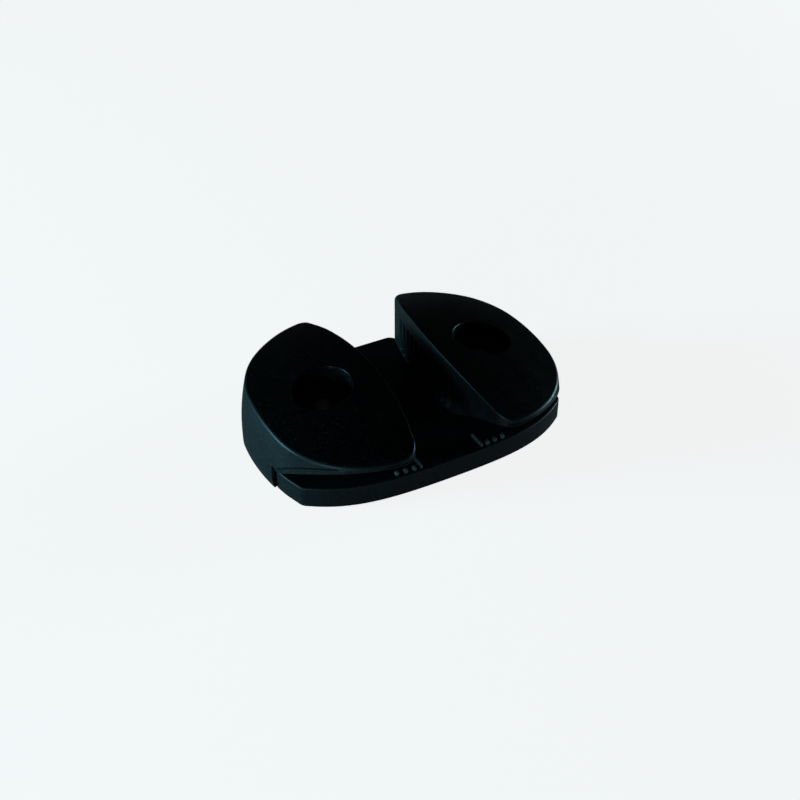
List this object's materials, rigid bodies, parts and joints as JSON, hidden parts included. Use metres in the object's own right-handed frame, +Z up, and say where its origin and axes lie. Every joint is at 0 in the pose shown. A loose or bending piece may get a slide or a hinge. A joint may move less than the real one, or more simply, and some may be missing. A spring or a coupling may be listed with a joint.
{
  "type": "cam cleat",
  "caption": "Deck-mounted cam cleat with two half-moon cams that turn on vertical pivots over a flat plate and close on a rope running between them.",
  "frame": {"origin": "on the deck face of the base plate, midway between the two deck bolts that are also the cam pivots", "axes": "+X from the left cam to the right cam, +Y towards the straight back edge of the plate, +Z up from the deck"},
  "size_m": [0.0678, 0.0503, 0.0183],
  "materials": {
    "black_nylon": "satin moulded",
    "dark_acetal": "smooth",
    "stainless": "bright"
  },
  "bodies": {
    "base": {"base_plate": "black_nylon", "left_pivot_bush": "stainless", "right_pivot_bush": "stainless", "left_thrust_washer": "dark_acetal", "right_thrust_washer": "dark_acetal", "left_lower_balls": "stainless", "right_lower_balls": "stainless", "left_race_spacer": "dark_acetal", "right_race_spacer": "dark_acetal", "left_upper_balls": "stainless", "right_upper_balls": "stainless", "left_bush_cap": "black_nylon", "right_bush_cap": "black_nylon", "left_spring": "stainless", "right_spring": "stainless"},
    "left_cam_body": {"left_cam": "black_nylon"},
    "right_cam_body": {"right_cam": "black_nylon"}
  },
  "joints": [
    {"name": "left_cam_pivot", "type": "hinge", "parent": "base", "child": "left_cam_body", "pos_m": [-0.019, 0, 0.008], "axis": [0, 0, -1], "range_deg": [0, 27], "stiffness_Nm_per_rad": 0.01, "springref_deg": 57.3},
    {"name": "right_cam_pivot", "type": "hinge", "parent": "base", "child": "right_cam_body", "pos_m": [0.019, 0, 0.008], "axis": [0, 0, 1], "range_deg": [0, 27], "stiffness_Nm_per_rad": 0.01, "springref_deg": 57.3}
  ]
}
